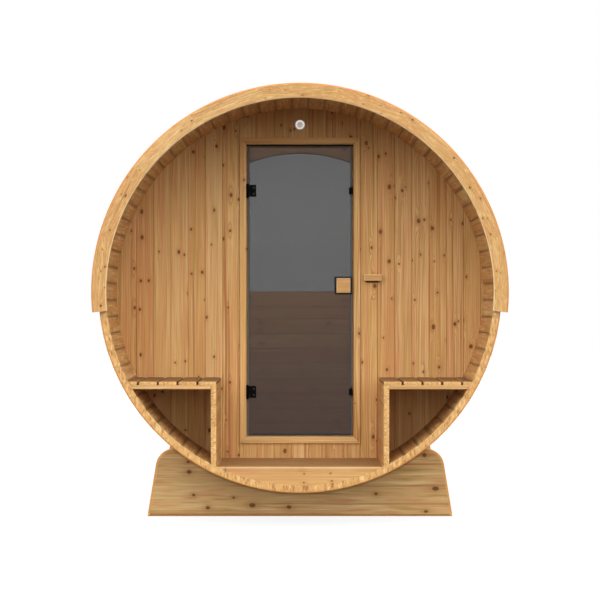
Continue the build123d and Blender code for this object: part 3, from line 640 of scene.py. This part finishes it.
# Porch lamp: a white ring that glows from within, round a duller lens
lamp = {"ringGlow": 0.6, "lensGlow": 0.8, "dimFrom": 0.006, "dimTo": 0.001}
p = Paint("lampWhite")
grainy = speckles(p, 900.0, 2.0)
lampZ = (low("lamp_ring").z + high("lamp_ring").z) / 2
lampRadius = (high("lamp_ring").z - low("lamp_ring").z) / 2
fromMiddle = (p.x * p.x + (p.z - lampZ) * (p.z - lampZ)).math("SQRT")
dimmed = p.smooth(fromMiddle, lampRadius - lamp["dimTo"], lampRadius - lamp["dimFrom"])
glow = p.mix(dimmed, (0.04, 0.035, 0.03), p.mix(grainy, (0.95, 0.92, 0.88), (1.0, 0.97, 0.94)))
sockets = {"Base Color": (0.8, 0.78, 0.74, 1), "Roughness": grainy * 0.1 + 0.3, "Emission Color": glow}
dress(["lamp_ring"], p.surface(sockets, {"Emission Strength": lamp["ringGlow"]}))
p = Paint("lampLens")
grainy = speckles(p, 500.0, 2.0)
glow = p.mix(grainy, (0.26, 0.245, 0.23), (0.34, 0.32, 0.30))
sockets = {"Base Color": (0.5, 0.48, 0.45, 1), "Roughness": grainy * 0.1 + 0.3, "Emission Color": glow}
dress(["lamp_lens"], p.surface(sockets, {"Emission Strength": lamp["lensGlow"]}))
print("glass and metal dressed")

mergeWithin = 0.00002  # metres between corners that are one corner


# Pieces made here: easedCopy rounds a part's sharp edges, the node trees make what repeats
def collected(name, mesh, body, material, replaced=()):
    piece = linked(name, mesh)
    if material is not None:
        mesh.materials.clear()
        mesh.materials.append(material)
    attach(piece, body)
    if replaced:
        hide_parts(*replaced)
    return piece


def plainMesh(piece, name):
    depsgraph = bpy.context.evaluated_depsgraph_get()
    evaluated = piece.evaluated_get(depsgraph)
    mesh = bpy.data.meshes.new_from_object(evaluated, preserve_all_data_layers=True, depsgraph=depsgraph)
    mesh.name = name
    bpy.data.objects.remove(piece)
    return mesh


doorNodes = frame["record"]["behaviour"]["bodies"]["door"]


easing = {"segments": 2, "sharpDegrees": 30.0, "flatDegrees": 0.6}  # sharper edges are eased, flatter ones go


def easedCopy(node, width):
    source = nodes[node].data
    build = bmesh.new()
    build.from_mesh(source)
    bmesh.ops.remove_doubles(build, verts=build.verts, dist=mergeWithin)
    flat = math.radians(easing["flatDegrees"])
    bmesh.ops.dissolve_limit(build, angle_limit=flat, verts=build.verts, edges=build.edges)
    mesh = bpy.data.meshes.new(node + "_copy")
    build.to_mesh(mesh)
    build.free()
    mesh.shade_smooth()
    rough = linked(node + "_rough", mesh)
    ease = rough.modifiers.new("ease", "BEVEL")
    ease.width, ease.segments, ease.limit_method = width, easing["segments"], "ANGLE"
    ease.angle_limit = math.radians(easing["sharpDegrees"])
    ease.use_clamp_overlap = True
    ease.harden_normals = True
    ease.miter_outer = "MITER_ARC"
    finished = plainMesh(rough, node + "_eased")
    body = "door" if node in doorNodes else "barrel"
    return collected(node + "_eased", finished, body, source.materials[0], [node])


ease = {
    "door_frame": 0.0015,
    "bench_slats_left": 0.0015,
    "bench_slats_right": 0.0015,
    "bench_panel_left": 0.0012,
    "bench_panel_right": 0.0012,
    "bench_bearers": 0.0015,
    "porch_floor": 0.001,
    "window_rail": 0.002,
    "hinge_leaves": 0.0006,
    "hinge_clamps": 0.0008,
    "door_catches": 0.0006,
    "pull_plate": 0.001,
}
for node, width in ease.items():
    easedCopy(node, width)
print("edges eased:", len(ease), "parts")


class Tree:
    def __init__(self, name, inputs):
        self.group = bpy.data.node_groups.new(name, "GeometryNodeTree")
        face = self.group.interface
        face.new_socket("Geometry", in_out="INPUT", socket_type="NodeSocketGeometry")
        for label, kind, value in inputs:
            item = face.new_socket(label, in_out="INPUT", socket_type="NodeSocket" + kind)
            if value is not None:
                item.default_value = value
        face.new_socket("Geometry", in_out="OUTPUT", socket_type="NodeSocketGeometry")
        self.enter = self.group.nodes.new("NodeGroupInput")
        self.leave = self.group.nodes.new("NodeGroupOutput")

    def get(self, label):
        return self.enter.outputs[label]

    def add(self, kind, settings=None, sockets=None):
        node = self.group.nodes.new(kind)
        for key, value in (settings or {}).items():
            setattr(node, key, value)
        for key, value in (sockets or {}).items():
            if isinstance(value, bpy.types.NodeSocket):
                self.group.links.new(value, node.inputs[key])
            else:
                node.inputs[key].default_value = value
        return node

    def times(self, socket, factor):
        return self.add("ShaderNodeMath", {"operation": "MULTIPLY"}, {0: socket, 1: factor}).outputs[0]

    def facing(self):
        aim = self.add("GeometryNodeInputNamedAttribute", {"data_type": "FLOAT_VECTOR"}, {"Name": "aim"})
        return self.add("FunctionNodeAlignRotationToVector", {"axis": "Z"}, {"Vector": aim.outputs[0]}).outputs[0]

    def finish(self, geometry):
        real = self.add("GeometryNodeRealizeInstances", sockets={0: geometry})
        sockets = {"Geometry": real.outputs[0], "Material": self.get("Material")}
        painted = self.add("GeometryNodeSetMaterial", sockets=sockets)
        self.group.links.new(painted.outputs[0], self.leave.inputs[0])

    def grow(self, name, mesh, values):
        # runs the tree on a mesh of points or lines and returns the plain result
        carrier = linked(name + "_carrier", mesh)
        modifier = carrier.modifiers.new("make", "NODES")
        modifier.node_group = self.group
        for item in self.group.interface.items_tree:
            if item.in_out == "INPUT" and item.name in values:
                modifier[item.identifier] = values[item.name]
        return plainMesh(carrier, name)


def aimedPoints(name, spots):
    mesh = bpy.data.meshes.new(name + "_spots")
    mesh.from_pydata([place for place, _ in spots], [], [])
    aim = mesh.attributes.new("aim", "FLOAT_VECTOR", "POINT")
    for item, (_, direction) in zip(aim.data, spots):
        item.vector = direction
    return mesh


# A fixing's head: a low cylinder, domed, with a socket pressed into it
fixingHead = Tree(
    "fixingHead",
    [
        ("Head Radius", "Float", 0.004),
        ("Head Height", "Float", 0.0012),
        ("Dome", "Float", 0.72),
        ("Socket", "Float", 0.55),
        ("Socket Depth", "Float", 0.8),
        ("Seed", "Int", 7),
        ("Material", "Material", None),
    ],
)
t = fixingHead
height = t.get("Head Height")
stubSize = {"Vertices": 12, "Radius": t.get("Head Radius"), "Depth": height}
stub = t.add("GeometryNodeMeshCylinder", {"fill_type": "NGON"}, stubSize)


def step(shape, top, rise, scale):
    raised = t.add(
        "GeometryNodeExtrudeMesh",
        {"mode": "FACES"},
        {"Mesh": shape, "Selection": top, "Offset Scale": rise, "Individual": False},
    )
    scaled = t.add(
        "GeometryNodeScaleElements",
        {"domain": "FACE"},
        {"Geometry": raised.outputs[0], "Selection": raised.outputs["Top"], "Scale": scale},
    )
    return scaled.outputs[0], raised.outputs["Top"]


shape, top = step(stub.outputs["Mesh"], stub.outputs["Top"], t.times(height, 0.4), t.get("Dome"))
shape, top = step(shape, top, t.times(height, 0.05), t.get("Socket"))
shape, top = step(shape, top, t.times(t.times(height, -1.0), t.get("Socket Depth")), 0.85)
turnRange = {"Min": 0.0, "Max": 6.28, "Seed": t.get("Seed")}
turn = t.add("FunctionNodeRandomValue", {"data_type": "FLOAT"}, turnRange)
twist = t.add("FunctionNodeAxisAngleToRotation", sockets={"Axis": (0, 0, 1), "Angle": turn.outputs[1]})
twisted = {0: t.facing(), 1: twist.outputs[0]}
turned = t.add("FunctionNodeRotateRotation", {"rotation_space": "LOCAL"}, twisted)
heads = {"Points": t.get("Geometry"), "Instance": shape, "Rotation": turned.outputs[0]}
t.finish(t.add("GeometryNodeInstanceOnPoints", sockets=heads).outputs[0])

# A bolt's thread: a three-sided wire wound round its shank
thread = Tree(
    "thread",
    [
        ("Radius", "Float", 0.004),
        ("Turns", "Float", 20.0),
        ("Length", "Float", 0.03),
        ("Wire", "Float", 0.0006),
        ("Material", "Material", None),
    ],
)
t = thread
coil = t.add(
    "GeometryNodeCurveSpiral",
    sockets={
        "Resolution": 16,
        "Rotations": t.get("Turns"),
        "Start Radius": t.get("Radius"),
        "End Radius": t.get("Radius"),
        "Height": t.get("Length"),
    },
)
wire = t.add("GeometryNodeCurvePrimitiveCircle", sockets={"Resolution": 3, "Radius": t.get("Wire")})
winding = {"Curve": coil.outputs[0], "Profile Curve": wire.outputs[0], "Fill Caps": True}
wound = t.add("GeometryNodeCurveToMesh", sockets=winding)
coils = {"Points": t.get("Geometry"), "Instance": wound.outputs[0], "Rotation": t.facing()}
t.finish(t.add("GeometryNodeInstanceOnPoints", sockets=coils).outputs[0])

# A seal: a flattened bead that follows a line
bead = Tree(
    "bead",
    [
        ("Width", "Float", 0.008),
        ("Thickness", "Float", 0.004),
        ("Sides", "Int", 10),
        ("Material", "Material", None),
    ],
)
t = bead
path = t.add("GeometryNodeMeshToCurve", sockets={"Mesh": t.get("Geometry")})
ring = t.add("GeometryNodeCurvePrimitiveCircle", sockets={"Resolution": t.get("Sides"), "Radius": 0.5})
girth = t.add("ShaderNodeCombineXYZ", sockets={0: t.get("Width"), 1: t.get("Thickness"), 2: 1.0})
oval = t.add("GeometryNodeTransform", sockets={"Geometry": ring.outputs[0], "Scale": girth.outputs[0]})
sweeping = {"Curve": path.outputs[0], "Profile Curve": oval.outputs[0], "Fill Caps": True}
swept = t.add("GeometryNodeCurveToMesh", sockets=sweeping)
t.finish(t.add("GeometryNodeSetShadeSmooth", sockets={"Geometry": swept.outputs[0]}).outputs[0])


def sealAlong(name, lines, size, material, body="barrel"):
    build = bmesh.new()
    for line, closed in lines:
        verts = [build.verts.new(place) for place in line]
        for a, b in zip(verts, verts[1:] + (verts[:1] if closed else [])):
            build.edges.new((a, b))
    mesh = bpy.data.meshes.new(name + "_line")
    build.to_mesh(mesh)
    build.free()
    inputs = {"Width": size["width"], "Thickness": size["thickness"], "Material": material}
    finished = bead.grow(name, mesh, inputs)
    build = bmesh.new()
    build.from_mesh(finished)
    bmesh.ops.recalc_face_normals(build, faces=build.faces)
    build.to_mesh(finished)
    build.free()
    return collected(name, finished, body, None)


surfaces = {}
lookLength = 4.0  # metres, longer than the object


def touch(node, start, toward, spots=None):
    # where a line from start first meets a part
    if node not in surfaces:
        mesh = nodes[node].data
        corners, faces = [v.co for v in mesh.vertices], [list(f.vertices) for f in mesh.polygons]
        surfaces[node] = BVHTree.FromPolygons(corners, faces)
    place, normal, _, _ = surfaces[node].ray_cast(Vector(start), Vector(toward).normalized(), lookLength)
    if spots is not None and place is not None:
        spots.append((place, normal))
    return place, normal


def boxes(node):
    # the separate solids of a part, as (low, high) corners
    build = bmesh.new()
    build.from_mesh(nodes[node].data)
    bmesh.ops.remove_doubles(build, verts=build.verts, dist=mergeWithin)
    found, seen = [], set()
    for first in build.verts:
        if first in seen:
            continue
        seen.add(first)
        group, queue = [], [first]
        while queue:
            vert = queue.pop()
            group.append(vert.co.copy())
            for edge in vert.link_edges:
                other = edge.other_vert(vert)
                if other not in seen:
                    seen.add(other)
                    queue.append(other)
        found.append([Vector([pick(c[i] for c in group) for i in range(3)]) for pick in (min, max)])
    build.free()
    return found


def fixings(name, body, spots, size, material):
    inputs = {
        "Head Radius": size["radius"],
        "Head Height": size["height"],
        "Dome": size.get("dome", 0.72),
        "Socket": size.get("socket", 0.55),
        "Socket Depth": size.get("depth", 0.8),
        "Seed": size["seed"],
        "Material": material,
    }
    mesh = fixingHead.grow(name, aimedPoints(name, spots), inputs)
    collected(name, mesh, body, None)
    print(name, len(spots), "fixings,", len(mesh.polygons), "faces")


# Roof nails: two to a board on each batten
roofNail = {
    "radius": 0.0038,
    "height": 0.0008,
    "dome": 0.6,
    "socket": 0.5,
    "depth": 0.1,
    "fromEdge": 0.26,
    "stagger": 0.004,
    "boards": 38,
    "firstAngle": -2.5,
    "from": 1.4,
    "seed": 3,
}
spots = []
for corner, farCorner in boxes("roof_battens"):
    battenY = (corner.y + farCorner.y) / 2
    for k in range(roofNail["boards"]):
        for side in (-1, 1):
            angle = math.radians(roofNail["firstAngle"] + stavePitch * (k + side * roofNail["fromEdge"]))
            out = Vector((math.cos(angle), 0, math.sin(angle)))
            start = Vector((0, battenY + side * roofNail["stagger"], axisZ)) + out * roofNail["from"]
            touch("roof_boards_right" if out.x > 0 else "roof_boards_left", start, -out, spots)
fixings("roofNails", "barrel", spots, roofNail, boltSteel)

# Where screws go: looked for from this far over a board, on flat tops, at shares of the board's width
screwSearch = {"over": 0.2, "leastCrossing": 0.02, "flat": 0.99, "topWithin": 0.001, "shares": (0.25, 0.75)}


# Screws through boards into what carries them
def throughBoards(boards, carriers):
    found = []
    supports = [box for node in carriers for box in boxes(node)]
    for node in boards:
        for a, b in boxes(node):
            for c, d in supports:
                lowX, highX = max(a.x, c.x), min(b.x, d.x)
                lowY, highY = max(a.y, c.y), min(b.y, d.y)
                if min(highX - lowX, highY - lowY) < screwSearch["leastCrossing"]:
                    continue
                for share in screwSearch["shares"]:
                    if b.x - a.x > b.y - a.y:  # the board runs across, the carrier along
                        x, y = (highX + lowX) / 2, a.y + (b.y - a.y) * share
                    else:
                        x, y = a.x + (b.x - a.x) * share, (highY + lowY) / 2
                    place, normal = touch(node, (x, y, b.z + screwSearch["over"]), (0, 0, -1))
                    if place is None or normal.z <= screwSearch["flat"]:
                        continue
                    if place.z > b.z - screwSearch["topWithin"]:
                        found.append((place, normal))
    return found


benchScrew = {"radius": 0.0042, "height": 0.0009, "seed": 5}
spots = throughBoards(["bench_slats_left", "bench_slats_right"], ["bench_bearers"])
fixings("benchScrews", "barrel", spots, benchScrew, boltSteel)

floorScrew = {"radius": 0.0045, "height": 0.0008, "seed": 6, "across": (-0.36, -0.12, 0.12, 0.36)}
spots = []
for node, carrier in (("porch_floor", "porch_joists"), ("cabin_floor", "cabin_joists")):
    for a, b in boxes(node):
        if b.x - a.x > b.y - a.y:
            places = [(x, (a.y + b.y) / 2) for x in floorScrew["across"]]
        else:
            places = [((a.x + b.x) / 2, (c.y + d.y) / 2) for c, d in boxes(carrier)]
        for x, y in places:
            place, normal = touch(node, (x, y, b.z + screwSearch["over"]), (0, 0, -1))
            if place is not None and normal.z > screwSearch["flat"]:
                spots.append((place, normal))
fixings("floorScrews", "barrel", spots, floorScrew, boltSteel)

# Screws round the rear window, looked for from behind
windowScrew = {
    "radius": 0.0042,
    "height": 0.0009,
    "seed": 8,
    "line": 0.906,
    "shares": (0.15, 0.5, 0.85),
    "railGap": 0.3,
    "from": 1.6,
}
spots = []
for piece in range(windowRim["pieces"]):
    for share in windowScrew["shares"]:
        angle = math.radians(windowRim["pitch"] * (piece + share))
        x, rise = math.cos(angle) * windowScrew["line"], math.sin(angle) * windowScrew["line"]
        touch("window_rim", (x, windowScrew["from"], axisZ + rise), (0, -1, 0), spots)
railMiddle = (low("window_rail").z + high("window_rail").z) / 2
for k in range(-2, 3):
    touch("window_rail", (k * windowScrew["railGap"], windowScrew["from"], railMiddle), (0, -1, 0), spots)
fixings("windowScrews", "barrel", spots, windowScrew, boltSteel)

# Clamp screws on the hinges' outer plates
hingeMiddles = (0.5315, -0.5235)  # over and under the barrel's centre line
darkSteel = mottled("darkSteel", 700.0, (0.045, 0.045, 0.05), (0.1, 0.1, 0.11), (0.2, 0.3), {"Metallic": 1.0})
clampScrew = {
    "radius": 0.0042,
    "height": 0.0012,
    "dome": 0.85,
    "socket": 0.62,
    "seed": 9,
    "spacing": 0.032,
    "inward": 0.036,
    "from": 0.1,
}
clampCorner = low("hinge_clamps")
spots = []
for middle in hingeMiddles:
    for side in (-0.5, 0.5):
        z = axisZ + middle + side * clampScrew["spacing"]
        start = (clampCorner.x + clampScrew["inward"], clampCorner.y - clampScrew["from"], z)
        touch("hinge_clamps", start, (0, 1, 0), spots)
fixings("clampScrews", "door", spots, clampScrew, darkSteel)

# Threads on the band bolts
bandThread = {"radius": 0.00395, "turns": 22.0, "length": 0.0275, "wire": 0.00055, "turnAt": 230.0}
spots = []
angle = math.radians(bandThread["turnAt"])
along = Vector((-math.sin(angle), 0, math.cos(angle)))
for a, b in boxes("band_bolts"):
    spots.append(((a + b) / 2 - along * (bandThread["length"] / 2), along))
inputs = {
    "Radius": bandThread["radius"],
    "Turns": bandThread["turns"],
    "Length": bandThread["length"],
    "Wire": bandThread["wire"],
    "Material": boltSteel,
}
threads = thread.grow("bandThreads", aimedPoints("bandThreads", spots), inputs)
collected("bandThreads", threads, "barrel", None)
print("fixings made")

# Seals: dark beads round the rear window and behind the door's foot, grey strips on the door's glass, a dark brush over
# it. The foot bead and the brush are dark pieces that stand in for shade at the glass's foot and top
soft = {"Specular IOR Level": 0.2}
darkRubber = mottled("darkRubber", 90.0, (0.010, 0.010, 0.010), (0.022, 0.021, 0.02), (0.15, 0.5), soft)
bristly = {"Specular IOR Level": 0.1}
bristle = (900.0, 60.0, 60.0)
darkShadeBristle = mottled("darkShadeBristle", bristle, (0.012, 0.007, 0.004), (0.035, 0.02, 0.01), (0.15, 0.6), bristly)
greySilicone = mottled("greySilicone", 90.0, (0.082, 0.078, 0.07), (0.1, 0.096, 0.088), (0.15, 0.4), soft)

windowSeal = {"radius": 0.8465, "width": 0.006, "thickness": 0.007, "steps": 96, "off": 0.0035}
start = math.asin((high("window_rail").z - axisZ) / windowSeal["radius"])
lines = []
for y in (low("window_glass").y - windowSeal["off"], high("window_glass").y + windowSeal["off"]):
    line = []
    for k in range(windowSeal["steps"] + 1):
        angle = start + (math.pi - 2 * start) * k / windowSeal["steps"]
        line.append((math.cos(angle) * windowSeal["radius"], y, axisZ + math.sin(angle) * windowSeal["radius"]))
    lines.append((line, True))
sealAlong("windowSeals", lines, windowSeal, darkRubber)

glassCorner, glassFar = low("door_glass"), high("door_glass")
edgeSeal = {"inset": 0.0046, "width": 0.0084, "thickness": 0.0016, "gap": 0.034, "end": 0.001}  # gap: at the clamps
stops = [glassCorner.z, axisZ + hingeMiddles[1], axisZ + hingeMiddles[0], glassFar.z]
lines = []
for side in (-1, 1):
    x, y = side * (glassFar.x - edgeSeal["inset"]), glassCorner.y - edgeSeal["thickness"] * 0.4
    for k, (a, b) in enumerate(zip(stops, stops[1:])):
        start = a + edgeSeal["gap" if k else "end"]
        end = b - edgeSeal["gap" if k < 2 else "end"]
        lines.append(([(x, y, start), (x, y, end)], False))
x, z = glassFar.x - edgeSeal["inset"] - edgeSeal["width"] * 0.55, glassFar.z - edgeSeal["inset"]
lines.append(([(-x, y, z), (x, y, z)], False))
sealAlong("glassEdgeSeals", lines, edgeSeal, greySilicone, "door")
# a dark rubber bead that stands in for the shade along the glass's foot
sillShadeSeal = {"width": 0.0096, "thickness": 0.0044, "behind": 0.0025, "over": 0.0045}
y, z = glassFar.y + sillShadeSeal["behind"], glassCorner.z + sillShadeSeal["over"]
foot = [(side * glassFar.x, y, z) for side in (-1, 1)]
sealAlong("doorSillShadeSeal", [(foot, False)], sillShadeSeal, darkRubber)
# a dark bristle strip that stands in for the shadow under the door frame's head
shadeBrush = {"width": 0.011, "thickness": 0.009, "above": 0.0066, "beyond": 0.004}
header = [(side * (glassFar.x + shadeBrush["beyond"]), glassFar.y, glassFar.z + shadeBrush["above"]) for side in (-1, 1)]
sealAlong("doorTopShadeBrush", [(header, False)], shadeBrush, darkShadeBristle)
print("seals laid")

# Floor: dark to the object's own light, white to camera, mirrors and glass
stage = {"size": 60.0, "bounce": 0.06, "pale": 0.16, "glow": 0.86}  # pale and glow add up to white out of the shadow
half = stage["size"] / 2
floorMesh = bpy.data.meshes.new("floor")
floorMesh.from_pydata([(-half, -half, 0), (half, -half, 0), (half, half, 0), (-half, half, 0)], [], [(0, 1, 2, 3)])
floor = linked("floor", floorMesh)
p = Paint("floorWhite")
rays = p.add("LightPath").socket.node
seen = Term(p, rays.outputs["Is Camera Ray"])
mirrored = Term(p, rays.outputs["Is Glossy Ray"]).math("MAXIMUM", Term(p, rays.outputs["Is Transmission Ray"]))
plain = p.add("BsdfDiffuse", sockets={0: (*[stage["bounce"]] * 3, 1.0)})
pale = p.add("BsdfDiffuse", sockets={0: (*[stage["pale"]] * 3, 1.0)})
glow = p.add("Emission", sockets={0: (1, 1, 1, 1), 1: stage["glow"]})
shown = p.add("AddShader", sockets={0: pale, 1: glow})
both = p.add("MixShader", sockets={0: seen, 1: plain, 2: shown})
white = p.add("Emission", sockets={0: (1, 1, 1, 1), 1: 1.0})
both = p.add("MixShader", sockets={0: mirrored, 1: both, 2: white})
out = p.tree.nodes.new("ShaderNodeOutputMaterial")
p.tree.links.new(both.socket, out.inputs[0])
floorMesh.materials.append(p.material)

# Lamps: one large soft one in front and over, one small one in the cabin, aimed at the rear wall
lamps = {
    "key": {"power": 46.0, "place": (0.0, -7.0, 5.0), "aim": (0, 0, 1.0), "size": (7.0, 4.0)},
    "cabin": {"power": 18.0, "place": (0.0, 0.1, 1.7), "aim": (0, 1.1, 0.8), "size": (0.8, 0.5)},
}
for name, values in lamps.items():
    data = bpy.data.lights.new(name, "AREA")
    data.shape, data.energy = "RECTANGLE", values["power"]
    data.size, data.size_y = values["size"]
    areaLamp = linked(name, data)
    areaLamp.location = values["place"]
    areaLamp.visible_camera = False
    toward = Vector(values["aim"]) - Vector(values["place"])
    areaLamp.rotation_euler = toward.to_track_quat("-Z", "Y").to_euler()

# Sky: a soft dome, brightest at the horizon, and plain white behind the object
dome = {"horizon": 2.6}
world = bpy.data.worlds.new("studio")
bpy.context.scene.world = world
world.use_nodes = True
tree = world.node_tree
tree.nodes.clear()


def worldNode(kind, sockets=None, output=0, **settings):
    node = tree.nodes.new("ShaderNode" + kind)
    for key, value in settings.items():
        setattr(node, key, value)
    for key, value in (sockets or {}).items():
        if isinstance(value, bpy.types.NodeSocket):
            tree.links.new(value, node.inputs[key])
        else:
            node.inputs[key].default_value = value
    return node.outputs[output]


def worldMath(operation, first, second):
    return worldNode("Math", {0: first, 1: second}, operation=operation)


upward = worldNode("SeparateXYZ", {0: worldNode("TexCoord", output="Generated")}, 2)
nearHorizon = worldMath("SUBTRACT", 1.0, worldMath("MULTIPLY", upward, upward))
nearHorizon = worldMath("POWER", worldMath("MAXIMUM", nearHorizon, 0.0), 0.5)
overHorizon = worldMath("GREATER_THAN", upward, 0.0)
sky = worldMath("MULTIPLY", worldMath("MULTIPLY", nearHorizon, dome["horizon"]), overHorizon)
rayKinds = tree.nodes.new("ShaderNodeLightPath")
shown = worldMath("MAXIMUM", rayKinds.outputs["Is Camera Ray"], rayKinds.outputs["Is Glossy Ray"])
shown = worldMath("MAXIMUM", shown, rayKinds.outputs["Is Transmission Ray"])
strength = worldNode("Mix", {0: shown, 2: sky, 3: 1.0})
background = worldNode("Background", {0: (1, 1, 1, 1), 1: strength})
out = tree.nodes.new("ShaderNodeOutputWorld")
tree.links.new(background, out.inputs[0])
print("lamps lit")
